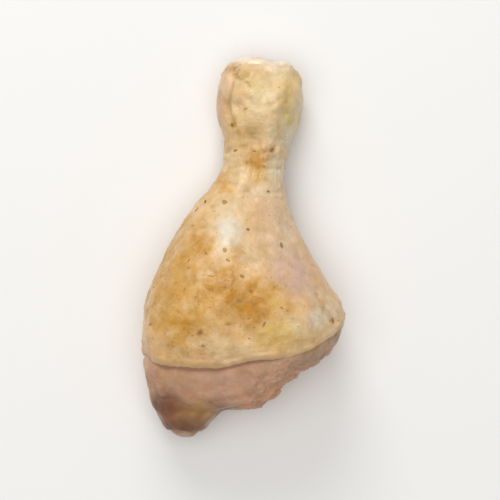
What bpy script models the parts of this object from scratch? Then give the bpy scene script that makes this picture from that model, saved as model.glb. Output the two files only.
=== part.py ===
# A raw, seasoned chicken drumstick lying on its side, as cut at the knee and at the ankle.
# The leg runs along Y with the ankle at +Y. It rests on the plane Z = 0.
# Three pieces: the meat, the skin drawn over it like a sleeve, and the shin bone that runs
# through both and shows as a pair of knuckles at the ankle and a round head at the knee.

import math
import random

import bmesh
import bpy
import numpy as np
from mathutils import Euler, Matrix, Vector

MM = 0.001

# Sizes in millimetres
SKIN_THICKNESS = 1.4
GAP = 0.38  # between pieces that touch
BARE_MEAT_INSET = 0.6  # the bare meat lies this far inside the skin's outer surface
COVERED_MEAT_INSET = 2.15  # and under the skin, where its rings are wider apart, this far
HEM_STEP = (2.4, 0.2)  # the meat swells out between these distances past the skin's hem
BARE_MEAT_CLEARANCE = 0.3  # between the bare meat and the plane the leg lies on
MEAT_ANKLE_END = 49.5
FORM_SQUARENESS = 2.25  # exponent of the leg's cross-section, 2 for an ellipse
WIDEST_LEVEL = 0.43  # share of the section's height at which it is widest

# The leg's lines: station along Y, left edge, right edge, top, underside
LEG_LINES = (
    (-49.3, -20.5, -5.0, 15.0, 6.0),
    (-48.8, -23.0, -0.6, 18.6, 3.6),
    (-47.8, -25.0, 4.4, 22.6, 1.6),
    (-46.2, -26.4, 9.0, 26.4, 0.3),
    (-44.2, -27.3, 11.6, 29.4, -0.3),
    (-41.0, -28.1, 13.4, 32.8, -0.9),
    (-37.0, -28.8, 17.0, 35.8, -1.5),
    (-32.0, -29.4, 24.0, 38.6, -1.9),
    (-26.5, -29.8, 29.0, 40.2, -2.2),
    (-20.0, -29.8, 30.0, 40.4, -2.2),
    (-14.0, -28.9, 28.4, 38.8, -2.0),
    (-6.0, -26.2, 23.0, 35.2, -1.5),
    (4.0, -22.2, 15.9, 29.2, -0.4),
    (12.0, -17.5, 11.6, 23.2, 0.8),
    (19.0, -12.7, 8.9, 18.8, 1.6),
    (25.0, -10.3, 8.3, 17.0, 1.8),
    (32.0, -10.6, 9.5, 17.6, 1.1),
    (38.0, -12.9, 11.3, 20.0, -0.2),
    (44.0, -13.7, 12.3, 21.3, -0.7),
    (50.0, -13.0, 11.5, 20.3, 0.0),
    (53.5, -12.0, 10.5, 19.0, 1.0),
    (56.0, -11.2, 9.8, 18.2, 1.6),
)

# The tissue round the knee end of the bone: station, left edge, right edge, top, underside
KNEE_LINES = (
    (-32.0, -24.5, 1.0, 22.0, 2.8),
    (-39.6, -26.6, 0.6, 22.4, 2.4),
    (-41.8, -26.8, 0.2, 22.2, 0.8),
    (-45.5, -26.5, -1.8, 21.2, 0.3),
    (-49.0, -25.2, -4.2, 19.6, 0.5),
    (-52.0, -23.2, -6.6, 18.0, 1.2),
    (-54.2, -21.2, -8.6, 16.4, 2.2),
    (-55.6, -19.6, -10.2, 14.9, 3.6),
    (-56.3, -18.5, -11.2, 13.8, 4.8),
)

# The bone: station, centre X, centre Z, half width, half height
BONE_LINES = (
    (-57.5, -14.8, 9.3, 1.0, 1.0),
    (-57.2, -14.8, 9.3, 1.9, 1.9),
    (-56.4, -14.8, 9.3, 2.7, 2.7),
    (-54.6, -14.8, 9.3, 3.7, 3.6),
    (-50.0, -14.5, 9.5, 4.8, 4.6),
    (-44.0, -13.6, 10.0, 5.2, 5.0),
    (-36.0, -11.8, 10.8, 4.2, 4.2),
    (-12.0, -6.2, 12.4, 3.7, 3.7),
    (20.0, -1.2, 10.1, 3.4, 3.3),
    (36.0, -0.8, 9.8, 4.3, 3.9),
    (44.0, -0.8, 10.1, 6.6, 5.3),
    (49.0, -0.8, 10.2, 8.3, 6.5),
    (53.0, -0.8, 10.2, 9.0, 6.6),
    (55.4, -0.7, 10.2, 8.6, 6.1),
    (56.8, -0.6, 10.2, 7.4, 5.1),
    (57.5, -0.5, 10.2, 5.2, 3.4),
)
KNUCKLE_GROOVE_DEPTH = 1.3
KNUCKLE_GROOVE_WIDTH = 2.4
KNUCKLE_GROOVE_X = 2.0
KNUCKLE_GROOVE_STATIONS = (49.0, 56.5)  # where it starts and where it is full depth
BONE_ROW_SPACING = 1.5  # rows of the table that lie wider apart get one more between them
BONE_END_BULGE = 0.1
MEAT_END_BULGE = 0.4
BORE_END_BULGE = 0.6

# The skin's two free edges: angle round the leg (0 at +X, 90 on top) and station along Y
KNEE_HEM = (
    (0.0, -18.2),
    (12.0, -19.4),
    (30.0, -22.8),
    (50.0, -27.2),
    (75.0, -32.4),
    (97.0, -35.0),
    (130.0, -35.3),
    (180.0, -33.4),
    (225.0, -35.6),
    (270.0, -37.6),
    (305.0, -34.6),
    (325.0, -28.4),
    (345.0, -20.6),
)
ANKLE_HEM = (
    (0.0, 53.2),
    (48.0, 55.3),
    (80.0, 54.3),
    (112.0, 55.5),
    (180.0, 53.6),
    (270.0, 52.2),
)
HEM_WAVES = ((0.4, 5.0, 0.4), (0.25, 9.0, 2.1), (0.16, 13.0, 4.4))  # height, count, phase
KNEE_EDGE_WAVES = ((0.45, 3.0, 1.0), (0.27, 7.0, 0.0))
KNEE_EDGE_STATIONS = (-48.0, -53.0)  # the tissue's edge is even up to the first

# Relief of the leg: station, angle, length along Y, width in degrees, height
LEG_SWELLS = (
    (10.0, 98.0, 14.0, 13.0, 1.2),  # the shin's edge, running down into the calf
    (-12.0, 108.0, 16.0, 17.0, 1.1),
    (-4.0, 38.0, 13.0, 17.0, -1.6),  # hollow between the two calf muscles
    (-21.0, 58.0, 10.0, 18.0, 0.9),
    (-8.0, 158.0, 15.0, 18.0, -0.9),
    (-27.0, 142.0, 9.0, 22.0, 0.7),
    (30.0, 72.0, 9.0, 11.0, 0.6),  # two tendons of the shank and the dip between them
    (30.0, 116.0, 9.0, 10.0, 0.5),
    (30.0, 94.0, 8.0, 9.0, -0.6),
    (47.0, 132.0, 3.2, 24.0, 0.9),  # the two knuckles under the skin
    (48.5, 48.0, 3.4, 22.0, 0.8),
    (49.0, 86.0, 4.5, 12.0, -1.1),
    (41.5, 44.0, 1.6, 26.0, -0.6),  # creases below the knuckles
    (42.5, 128.0, 1.5, 24.0, -0.5),
)
MUSCLE_SEAMS = (38.0, 84.0, 131.0, 172.0, 214.0, 330.0)  # angles between the bare muscles
MUSCLE_SEAM_WIDTH = 7.0  # degrees
MUSCLE_SEAM_DEPTH = 1.1
MUSCLE_SEAM_WANDER = 5.0  # degrees to each side of its angle
MUSCLE_SEAM_BEND = 5.0  # millimetres of station for each radian of the wander
MUSCLE_SEAM_FULL = -46.3  # station from which a seam has its full depth
SHANK_FOLD_HEIGHT = 0.22
SHANK_FOLD_PITCH = 5.2
SHANK_FOLD_SLANT = 1.3  # radians of the fold's wave
SHANK_FOLD_STATION = 29.0
SHANK_FOLD_REACH = 8.0
TORN_EDGE_DEPTH = 1.6
TORN_EDGE_PITCH = 5.2
TORN_EDGE_ANGLE = -5.0
TORN_EDGE_WIDTH = 34.0  # degrees
TORN_EDGE_STATIONS = (-31.0, -37.0)

# Grid sizes
ROUND_STEPS = 44
SKIN_ROWS = 33
SKIN_ROW_CROWDING = 0.045  # pulls the skin's rows closer together at its two hems
BARE_ROWS = 12
BARE_ROW_CROWDING = 1.5  # exponent that pulls the bare rows closer together at the knee
COVERED_ROWS = 16
BONE_STEPS = 18
KNEE_STEPS = 24
TANGENT_STEP = 0.4  # half the step along the leg that gives the surface's direction
TANGENT_TURN = 1.0  # and round it, in degrees

# Herb flakes of the seasoning that stand out on the skin
FLAKE_COUNT = 40
FLAKE_SEED = 11
FLAKE_STATIONS = (-31.0, 52.0, -17.0)  # lowest, highest and most common
FLAKE_ANGLES = (8.0, 172.0, 100.0)
FLAKE_LENGTH = (1.4, 2.6)
FLAKE_SPACING = 3.4
FLAKE_HEM_CLEARANCE = 2.5
FLAKE_WIDTHS = (0.55, 0.72, 0.4, 0.8, 0.48)  # shares of the length, taken in turn
FLAKE_THICKNESS = 0.42  # share of the length

# Colour, roughness and metallic value of each piece
SKIN_LOOK = ((0.62, 0.38, 0.18, 1.0), 0.38, 0.0)
MEAT_LOOK = ((0.50, 0.26, 0.17, 1.0), 0.42, 0.0)
BONE_LOOK = ((0.74, 0.63, 0.45, 1.0), 0.35, 0.0)


def clear_scene():
    for obj in list(bpy.data.objects):
        bpy.data.objects.remove(obj, do_unlink=True)


def new_collection(name):
    collection = bpy.data.collections.new(name)
    bpy.context.scene.collection.children.link(collection)
    return collection


def material(name, look):
    colour, roughness, metallic = look
    made = bpy.data.materials.new(name)
    made.use_nodes = True
    shader = made.node_tree.nodes["Principled BSDF"]
    shader.inputs["Base Color"].default_value = colour
    shader.inputs["Roughness"].default_value = roughness
    shader.inputs["Metallic"].default_value = metallic
    made.diffuse_color = colour
    return made


def fair_curve(knots, column, x):
    """A smooth curve through one column of a table, with no swing past its knots."""
    table = np.array(sorted(knots), float)
    xs, ys = table[:, 0], table[:, column]
    steps = np.diff(xs)
    rises = np.diff(ys) / steps
    slopes = np.zeros(len(xs))
    same_way = rises[:-1] * rises[1:] > 0
    weights = steps[:-1] + 2 * steps[1:], 2 * steps[:-1] + steps[1:]
    total = weights[0] + weights[1]
    with np.errstate(divide="ignore", invalid="ignore"):
        harmonic = total / (weights[0] / rises[:-1] + weights[1] / rises[1:])
    slopes[1:-1] = np.where(same_way, harmonic, 0.0)
    slopes[0], slopes[-1] = rises[0], rises[-1]
    x = np.clip(x, xs[0], xs[-1])
    i = np.clip(np.searchsorted(xs, x) - 1, 0, len(steps) - 1)
    h = steps[i]
    t = (x - xs[i]) / h
    return (
        ys[i] * (1 + 2 * t) * (1 - t) ** 2
        + ys[i + 1] * t * t * (3 - 2 * t)
        + slopes[i] * h * t * (1 - t) ** 2
        - slopes[i + 1] * h * t * t * (1 - t)
    )


def turn_from(start, angle):
    """The turn in degrees from one angle to another, the short way round."""
    return np.mod(angle - start + 180.0, 360.0) - 180.0


def edge_waves(waves, angle):
    """The unevenness of a free edge, as a sum of waves round the leg."""
    return sum(height * np.sin(count * np.radians(angle) + phase) for height, count, phase in waves)


def hem_station(knots, angle):
    """Where a free edge of the skin lies along Y, at an angle in degrees. It closes on itself."""
    first = knots[0]
    closed = tuple(knots) + ((first[0] + 360.0, first[1]),)
    return fair_curve(closed, 1, np.mod(angle, 360.0)) + edge_waves(HEM_WAVES, angle)


def smooth_step(low, high, x):
    t = np.clip((x - low) / (high - low), 0.0, 1.0)
    return t * t * (3 - 2 * t)


def swell(station, angle, spot):
    """One rounded rise or hollow of the leg."""
    at_station, at_angle, length, width, height = spot
    reach = ((station - at_station) / length) ** 2 + (turn_from(at_angle, angle) / width) ** 2
    return height * np.exp(-reach)


def relief(station, angle):
    """How far the leg's surface stands out from its plain lines."""
    height = sum(swell(station, angle, spot) for spot in LEG_SWELLS)
    shank = np.exp(-(((station - SHANK_FOLD_STATION) / SHANK_FOLD_REACH) ** 2))
    slant = SHANK_FOLD_SLANT * np.sin(np.radians(angle))
    folds = np.sin(2 * math.pi * station / SHANK_FOLD_PITCH + slant)
    height = height + SHANK_FOLD_HEIGHT * shank * folds
    torn = np.mod(station / TORN_EDGE_PITCH, 1.0) - 0.5
    side = np.exp(-((turn_from(TORN_EDGE_ANGLE, angle) / TORN_EDGE_WIDTH) ** 2))
    return height + TORN_EDGE_DEPTH * torn * side * smooth_step(*TORN_EDGE_STATIONS, station)


def muscle_seams(station, angle, hem):
    """The grooves between the ends of the bare muscles, deepest at the knee."""
    depth = 0.0
    for number, seam in enumerate(MUSCLE_SEAMS):
        line = seam + MUSCLE_SEAM_WANDER * np.sin(station / MUSCLE_SEAM_BEND + number)
        depth = depth + np.exp(-((turn_from(line, angle) / MUSCLE_SEAM_WIDTH) ** 2))
    return -MUSCLE_SEAM_DEPTH * depth * smooth_step(hem, MUSCLE_SEAM_FULL, station)


def round_point(angle):
    """Across and up on a unit outline that is a little squarer than a circle."""
    across, up = np.cos(np.radians(angle)), np.sin(np.radians(angle))
    n = FORM_SQUARENESS
    reach = 1.0 / (np.abs(across) ** n + np.abs(up) ** n) ** (1.0 / n)
    return across * reach, up * reach


def section_point(lines, station, angle):
    """A point of a lofted body on its plain lines, before relief and the floor."""
    left, right, top, under = (fair_curve(lines, column, station) for column in (1, 2, 3, 4))
    middle = under + WIDEST_LEVEL * (top - under)
    across, up = round_point(angle)
    x = (left + right) / 2 + (right - left) / 2 * across
    z = middle + np.where(up > 0, top - middle, middle - under) * up
    return np.stack([x, station + 0.0 * angle, z], axis=-1)


def outward(lines, station, angle):
    """The surface's outward direction, from a short step along it and one round it."""
    ahead, behind = (section_point(lines, station + s, angle) for s in (TANGENT_STEP, -TANGENT_STEP))
    left, right = (section_point(lines, station, angle + t) for t in (TANGENT_TURN, -TANGENT_TURN))
    normal = np.cross(ahead - behind, left - right)
    normal /= np.linalg.norm(normal, axis=-1, keepdims=True)
    return normal


def body_surface(lines, station, angle, height, floor):
    """Points standing a height off a lofted body's plain lines, and pressed flat by the floor."""
    station, angle, height = np.broadcast_arrays(station, angle, height)
    points = section_point(lines, station, angle)
    points = points + outward(lines, station, angle) * height[..., None]
    points[..., 2] = np.maximum(points[..., 2], floor)
    return points


def add_rings(bm, grid, closed_ends):
    """Joins rings of points, first to last, into a tube, with a fan at each end that is closed."""
    rings = [[bm.verts.new(Vector(p) * MM) for p in ring] for ring in grid]
    for lower, upper in zip(rings, rings[1:]):
        for i in range(len(lower)):
            j = (i + 1) % len(lower)
            bm.faces.new((lower[i], upper[i], upper[j], lower[j]))
    for ring, closed in zip((rings[0], rings[-1]), closed_ends):
        if closed is None:
            continue
        centre = sum((v.co for v in ring), Vector()) / len(ring)
        tip = bm.verts.new(centre + Vector((0, closed * MM, 0)))
        for i in range(len(ring)):
            j = (i + 1) % len(ring)
            bm.faces.new((ring[i], ring[j], tip))


def object_from_rings(name, grid, closed_ends, collection, look=None):
    bm = bmesh.new()
    add_rings(bm, grid, closed_ends)
    bmesh.ops.recalc_face_normals(bm, faces=bm.faces)
    mesh = bpy.data.meshes.new(name)
    bm.to_mesh(mesh)
    bm.free()
    mesh.shade_smooth()
    obj = bpy.data.objects.new(name, mesh)
    collection.objects.link(obj)
    if look:
        mesh.materials.append(look)
    return obj


def apply_modifiers(obj):
    """Replaces the object's mesh by its evaluated one and clears its modifiers."""
    bpy.context.view_layer.update()
    graph = bpy.context.evaluated_depsgraph_get()
    made = bpy.data.meshes.new_from_object(obj.evaluated_get(graph))
    obj.modifiers.clear()
    obj.data = made


def round_angles(steps):
    return np.arange(steps) * 360.0 / steps


def skin_grid():
    """The skin's outer surface, from the knee hem to the ankle hem, with closer rows at both."""
    share = np.linspace(0.0, 1.0, SKIN_ROWS)
    share = share - SKIN_ROW_CROWDING * np.sin(2 * math.pi * share)
    angle = round_angles(ROUND_STEPS)[None, :]
    start, end = hem_station(KNEE_HEM, angle), hem_station(ANKLE_HEM, angle)
    station = start + (end - start) * share[:, None]
    return body_surface(LEG_LINES, station, angle, relief(station, angle), 0.0)


def meat_grid():
    """The meat, bare from the knee end to the hem and covered by the skin from there on."""
    angle = round_angles(ROUND_STEPS)[None, :]
    hem = hem_station(KNEE_HEM, angle)
    knee_end = LEG_LINES[0][0]
    bare = np.linspace(0.0, 1.0, BARE_ROWS)[:, None] ** BARE_ROW_CROWDING
    covered = np.linspace(0.0, 1.0, COVERED_ROWS + 1)[1:, None]
    station = np.concatenate(
        [knee_end + (hem - knee_end) * bare, hem + (MEAT_ANKLE_END - hem) * covered]
    )
    cover = smooth_step(hem - HEM_STEP[0], hem - HEM_STEP[1], station)
    inset = BARE_MEAT_INSET + (COVERED_MEAT_INSET - BARE_MEAT_INSET) * cover
    floor = BARE_MEAT_CLEARANCE + (COVERED_MEAT_INSET - BARE_MEAT_CLEARANCE) * cover
    height = relief(station, angle) + muscle_seams(station, angle, hem) - inset
    return body_surface(LEG_LINES, station, angle, height, floor)


def knee_grid():
    angle = round_angles(KNEE_STEPS)[None, :]
    station = np.array([line[0] for line in KNEE_LINES])[:, None]
    wave = edge_waves(KNEE_EDGE_WAVES, angle) * smooth_step(*KNEE_EDGE_STATIONS, station)
    return body_surface(KNEE_LINES, station + wave, angle, np.zeros(1), BARE_MEAT_CLEARANCE)


def bone_grid(growth):
    """The bone's rings. Growth makes the slightly larger solid that cuts its way through the meat."""
    stations = np.array(sorted(line[0] for line in BONE_LINES))
    between = (stations[:-1] + stations[1:]) / 2
    wide = np.diff(stations) > BONE_ROW_SPACING
    station = np.sort(np.concatenate([stations, between[wide]]))[:, None]
    across, up = round_point(round_angles(BONE_STEPS)[None, :])
    centre_x, centre_z, half_width, half_height = (
        fair_curve(BONE_LINES, column, station) for column in (1, 2, 3, 4)
    )
    half_width, half_height = half_width + growth, half_height + growth
    x = centre_x + half_width * across
    z = centre_z + half_height * up
    groove = np.exp(-(((x - KNUCKLE_GROOVE_X) / KNUCKLE_GROOVE_WIDTH) ** 2))
    depth = KNUCKLE_GROOVE_DEPTH * smooth_step(*KNUCKLE_GROOVE_STATIONS, station)
    y = station + growth * np.sign(station) - depth * groove
    return np.stack([x, y, z], axis=-1)


def build_bone(collection, look):
    bulges = (-BONE_END_BULGE, BONE_END_BULGE)
    return object_from_rings("bone", bone_grid(0.0), bulges, collection, look)


def build_meat(collection, cutters, look):
    """The calf and the tissue round the knee joined into one, then bored for the bone."""
    bore_bulges = (-BORE_END_BULGE, BORE_END_BULGE)
    meat = object_from_rings("meat", meat_grid(), (-MEAT_END_BULGE, 0.0), collection, look)
    knee = object_from_rings("knee_tissue", knee_grid()[::-1], (0.0, 0.0), cutters)
    bore = object_from_rings("bone_bore", bone_grid(GAP), bore_bulges, cutters)
    for helper, operation in ((knee, "UNION"), (bore, "DIFFERENCE")):
        helper.hide_render = True
        helper.display_type = "WIRE"
        cut = meat.modifiers.new(helper.name, "BOOLEAN")
        cut.operation = operation
        cut.solver = "EXACT"
        cut.object = helper
    apply_modifiers(meat)
    return meat


def flake_spots():
    """Where the flakes lie: a seeded draw of station and angle that keeps them apart."""
    draw = random.Random(FLAKE_SEED)
    spots = []
    while len(spots) < FLAKE_COUNT:
        station = draw.triangular(*FLAKE_STATIONS)
        angle = draw.triangular(*FLAKE_ANGLES)
        turn = draw.uniform(0.0, 360.0)
        length = draw.uniform(*FLAKE_LENGTH)
        at = np.array(station), np.array(angle)
        place = body_surface(LEG_LINES, *at, relief(station, angle), 0.0)
        clear_of_hem = station > float(hem_station(KNEE_HEM, angle)) + FLAKE_HEM_CLEARANCE
        apart = all(np.linalg.norm(place - other[0]) > FLAKE_SPACING for other in spots)
        if clear_of_hem and apart:
            spots.append((place, outward(LEG_LINES, *at), turn, length))
    return spots


def build_flakes(collection):
    for number, (place, normal, turn, length) in enumerate(flake_spots()):
        bm = bmesh.new()
        bmesh.ops.create_icosphere(bm, subdivisions=1, radius=0.5 * MM)
        wide = FLAKE_WIDTHS[number % len(FLAKE_WIDTHS)]
        bmesh.ops.scale(bm, vec=(length, length * wide, length * FLAKE_THICKNESS), verts=bm.verts)
        lie_flat = Vector(normal).to_track_quat("Z", "Y").to_matrix().to_4x4()
        spin = Euler((0.0, 0.0, math.radians(turn))).to_matrix().to_4x4()
        bm.transform(Matrix.Translation(Vector(place) * MM) @ lie_flat @ spin)
        mesh = bpy.data.meshes.new(f"flake_{number}")
        bm.to_mesh(mesh)
        bm.free()
        collection.objects.link(bpy.data.objects.new(mesh.name, mesh))


def build_skin(collection, flakes, look):
    """The sleeve of skin, thickened inwards, with the flakes fused to it."""
    skin = object_from_rings("skin", skin_grid(), (None, None), collection, look)
    wall = skin.modifiers.new("wall", "SOLIDIFY")
    wall.thickness = SKIN_THICKNESS * MM
    wall.offset = -1.0
    build_flakes(flakes)
    fuse = skin.modifiers.new("fuse_flakes", "BOOLEAN")
    fuse.operation = "UNION"
    fuse.operand_type = "COLLECTION"
    fuse.collection = flakes
    fuse.solver = "MANIFOLD"
    apply_modifiers(skin)
    for flake in list(flakes.objects):
        bpy.data.objects.remove(flake, do_unlink=True)
    bpy.data.collections.remove(flakes)
    return skin


def main():
    clear_scene()
    drumstick = new_collection("chicken_drumstick")
    cutters = new_collection("cutters")
    flakes = new_collection("herb_flakes")
    build_bone(drumstick, material("cartilage", BONE_LOOK))
    build_meat(drumstick, cutters, material("raw_meat", MEAT_LOOK))
    build_skin(drumstick, flakes, material("seasoned_skin", SKIN_LOOK))


main()
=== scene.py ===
# A raw, seasoned chicken drumstick lying on its side, seen from straight above.
# The leg runs along Y with the ankle at +Y. Lengths in the tables are millimetres, and
# angles go round the leg in degrees, 0 at +X and 90 on top.
import math
import random

import bmesh
import bpy
import numpy as np
from mathutils import Euler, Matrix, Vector, noise


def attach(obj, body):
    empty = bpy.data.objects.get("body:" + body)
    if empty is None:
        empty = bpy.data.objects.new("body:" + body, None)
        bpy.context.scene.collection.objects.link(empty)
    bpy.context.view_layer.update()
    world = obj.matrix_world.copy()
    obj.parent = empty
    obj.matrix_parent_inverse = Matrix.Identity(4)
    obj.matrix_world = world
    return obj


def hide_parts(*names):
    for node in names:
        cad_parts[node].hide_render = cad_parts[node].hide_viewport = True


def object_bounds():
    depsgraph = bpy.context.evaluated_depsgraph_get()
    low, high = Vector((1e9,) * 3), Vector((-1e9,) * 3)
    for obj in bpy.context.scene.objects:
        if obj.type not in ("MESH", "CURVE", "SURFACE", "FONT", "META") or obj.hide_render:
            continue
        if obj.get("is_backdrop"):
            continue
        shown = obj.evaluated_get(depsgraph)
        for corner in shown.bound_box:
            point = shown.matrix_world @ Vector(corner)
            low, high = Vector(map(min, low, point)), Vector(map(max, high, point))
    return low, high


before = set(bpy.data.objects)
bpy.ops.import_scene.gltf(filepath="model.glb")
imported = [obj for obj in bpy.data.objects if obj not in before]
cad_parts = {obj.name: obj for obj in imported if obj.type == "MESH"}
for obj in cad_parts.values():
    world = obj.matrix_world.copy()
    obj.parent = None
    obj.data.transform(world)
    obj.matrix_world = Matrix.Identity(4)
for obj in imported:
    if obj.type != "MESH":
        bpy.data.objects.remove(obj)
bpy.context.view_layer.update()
mm = 0.001

# The leg's form, the same lines as its solids have
leg = {
    "lines": (  # station along Y, left edge, right edge, top, underside
        (-49.3, -20.5, -5, 15, 6),
        (-48.8, -23, -0.6, 18.6, 3.6),
        (-47.8, -25, 4.4, 22.6, 1.6),
        (-46.2, -26.4, 9, 26.4, 0.3),
        (-44.2, -27.3, 11.6, 29.4, -0.3),
        (-41, -28.1, 13.4, 32.8, -0.9),
        (-37, -28.8, 17, 35.8, -1.5),
        (-32, -29.4, 24, 38.6, -1.9),
        (-26.5, -29.8, 29, 40.2, -2.2),
        (-20, -29.8, 30, 40.4, -2.2),
        (-14, -28.9, 28.4, 38.8, -2),
        (-6, -26.2, 23, 35.2, -1.5),
        (4, -22.2, 15.9, 29.2, -0.4),
        (12, -17.5, 11.6, 23.2, 0.8),
        (19, -12.7, 8.9, 18.8, 1.6),
        (25, -10.3, 8.3, 17, 1.8),
        (32, -10.6, 9.5, 17.6, 1.1),
        (38, -12.9, 11.3, 20, -0.2),
        (44, -13.7, 12.3, 21.3, -0.7),
        (50, -13, 11.5, 20.3, 0),
        (53.5, -12, 10.5, 19, 1),
        (56, -11.2, 9.8, 18.2, 1.6),
    ),
    "squareness": 2.25,
    "widestLevel": 0.43,
    "swells": (  # station, angle, length along Y, width in degrees, height
        (10, 98, 14, 13, 1.2), (-12, 108, 16, 17, 1.1),
        (-4, 38, 13, 17, -1.6), (-21, 58, 10, 18, 0.9),
        (-8, 158, 15, 18, -0.9), (-27, 142, 9, 22, 0.7),
        (30, 72, 9, 11, 0.6), (30, 116, 9, 10, 0.5),
        (30, 94, 8, 9, -0.6), (47, 132, 3.2, 24, 0.9),
        (48.5, 48, 3.4, 22, 0.8), (49, 86, 4.5, 12, -1.1),
        (41.5, 44, 1.6, 26, -0.6), (42.5, 128, 1.5, 24, -0.5),
    ),
    "tornDepth": 1.6,
    "tornPitch": 5.2,
    "tornSide": (-5.0, 34.0),  # the angle of the torn edge, and its width in degrees
    "tornStations": (-31.0, -37.0),  # where its ledges set in
    "leftSide": (138.0, 165.0, 205.0, 240.0),  # angles between which the skin clings
    "bulb": (20.0, 6.0),  # stations between which the shank swells to the calf
    "shank": (27.0, 13.0),  # its middle station and its reach
    "knuckle": (33.0, 40.0),  # stations between which the ankle knuckle sets in
    "kneeHem": (  # angle and station along Y
        (0, -18.2), (12, -19.4), (30, -22.8), (50, -27.2), (75, -32.4), (97, -35),
        (130, -35.3), (180, -33.4), (225, -35.6), (270, -37.6), (305, -34.6), (325, -28.4),
        (345, -20.6),
    ),
    "ankleHem": (
        (0, 53.2), (48, 55.3), (80, 54.3), (112, 55.5), (180, 53.6), (270, 52.2),
    ),
    "hemWaves": ((0.4, 5.0, 0.4), (0.25, 9.0, 2.1), (0.16, 13.0, 4.4)),
}


def fairCurve(knots, column, x):
    # a smooth curve through one column of a table, with no swing past its knots
    table = np.array(sorted(knots), float)
    xs, ys = table[:, 0], table[:, column]
    steps = np.diff(xs)
    rises = np.diff(ys) / steps
    slopes = np.zeros(len(xs))
    sameWay = rises[:-1] * rises[1:] > 0
    before, after = steps[:-1] + 2 * steps[1:], 2 * steps[:-1] + steps[1:]
    with np.errstate(divide="ignore", invalid="ignore"):
        harmonic = (before + after) / (before / rises[:-1] + after / rises[1:])
    slopes[1:-1] = np.where(sameWay, harmonic, 0.0)
    slopes[0], slopes[-1] = rises[0], rises[-1]
    x = np.clip(x, xs[0], xs[-1])
    i = np.clip(np.searchsorted(xs, x) - 1, 0, len(steps) - 1)
    h = steps[i]
    t = (x - xs[i]) / h
    return (
        ys[i] * (1 + 2 * t) * (1 - t) ** 2
        + ys[i + 1] * t * t * (3 - 2 * t)
        + slopes[i] * h * t * (1 - t) ** 2
        - slopes[i + 1] * h * t * t * (1 - t)
    )


def smoothStep(low, high, x):
    t = np.clip((x - low) / (high - low), 0.0, 1.0)
    return t * t * (3 - 2 * t)


def bell(away, width):
    # 1 in the middle, a third at one width from it and next to nothing at two
    return np.exp(-((away / width) ** 2))


def share01(values):
    return np.clip(values, 0.0, 1.0)


def turnFrom(angle, line):
    # the shorter way round from a line to an angle
    return np.mod(angle - line + 180.0, 360.0) - 180.0


def hemStation(knots, angle):
    closed = tuple(knots) + ((knots[0][0] + 360.0, knots[0][1]),)
    station = fairCurve(closed, 1, np.mod(angle, 360.0))
    for height, count, phase in leg["hemWaves"]:
        station = station + height * np.sin(count * np.radians(angle) + phase)
    return station


def legRelief(station, angle):
    # how far the leg stands out from its plain lines
    height = 0.0
    for atStation, atAngle, length, width, rise in leg["swells"]:
        along, around = (station - atStation) / length, turnFrom(angle, atAngle) / width
        height = height + rise * np.exp(-(along ** 2) - around ** 2)
    ledge = np.mod(station / leg["tornPitch"], 1.0) - 0.5
    tornAngle, tornWidth = leg["tornSide"]
    side = bell(turnFrom(angle, tornAngle), tornWidth)
    return height + leg["tornDepth"] * ledge * side * smoothStep(*leg["tornStations"], station)


def leftShare(angle):
    # 1 round the leg's left side, where the skin clings and its hem hardly shows
    startsAt, fullFrom, fullTo, endsAt = leg["leftSide"]
    return smoothStep(startsAt, fullFrom, angle) * smoothStep(endsAt, fullTo, angle)


def roundPoint(angle):
    across, up = np.cos(np.radians(angle)), np.sin(np.radians(angle))
    n = leg["squareness"]
    reach = 1.0 / (np.abs(across) ** n + np.abs(up) ** n) ** (1.0 / n)
    return across * reach, up * reach


def sectionAt(station, lines=leg["lines"]):
    # left edge, right edge, top, underside and the level of the widest place
    left, right, top, bottom = (fairCurve(lines, column, station) for column in (1, 2, 3, 4))
    return left, right, top, bottom, bottom + leg["widestLevel"] * (top - bottom)


def sectionPoint(station, angle, lines=leg["lines"]):
    left, right, top, bottom, middle = sectionAt(station, lines)
    across, up = roundPoint(angle)
    x = (left + right) / 2 + (right - left) / 2 * across
    z = middle + np.where(up > 0, top - middle, middle - bottom) * up
    return np.stack(np.broadcast_arrays(x, station + 0.0 * angle, z), axis=-1)


def outward(station, angle):
    along = sectionPoint(station + 0.4, angle) - sectionPoint(station - 0.4, angle)
    roundIt = sectionPoint(station, angle + 1.0) - sectionPoint(station, angle - 1.0)
    normal = np.cross(along, roundIt)
    return normal / np.linalg.norm(normal, axis=-1, keepdims=True)


def raisedPoint(station, angle, height):
    return sectionPoint(station, angle) + outward(station, angle) * height[..., None]


def pressFlat(points, floor):
    # the soft underside flattens on the surface it lies on, with no sharp line
    give = 0.5
    z = points[..., 2] - floor
    points[..., 2] = floor + 0.5 * (z + np.sqrt(z * z + give * give))
    return points


def roundAngles(steps):
    return np.arange(steps) * 360.0 / steps


def noiseValues(points, size, steps, seed, read):
    # reads every point's noise, for each seed in a part of the noise far from the others
    shift = Vector([step * seed for step in steps])
    made = np.array([read(Vector(p) + shift) for p in points.reshape(-1, 3) / size])
    return made.reshape(points.shape[:-1] + made.shape[1:])


def lumps(points, size, octaves, seed):
    # smooth noise, about -1 to 1, with its largest lumps about size millimetres across
    def read(p):
        return noise.fractal(p, 0.9, 2.0, octaves, noise_basis="PERLIN_NEW")
    return noiseValues(points, size, (31.7, 17.3, 9.1), seed, read)


def nearestCell(points, size, seed):
    # distance to the nearest of many scattered centres, in shares of their spacing
    return noiseValues(points, size, (11.9, 23.1, 5.3), seed, lambda p: noise.voronoi(p)[0][0])


def cells(points, size, seed):
    # how deep a point lies inside its cell, 0 at the border, and a value from 0 to 1 for each cell
    def read(p):
        distances, centres = noise.voronoi(p)
        return distances[1] - distances[0], noise.cell(centres[0] * 9.7)
    made = noiseValues(points, size, (7.9, 13.7, 3.1), seed, read)
    return made[..., 0], made[..., 1] * 0.5 + 0.5


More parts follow.
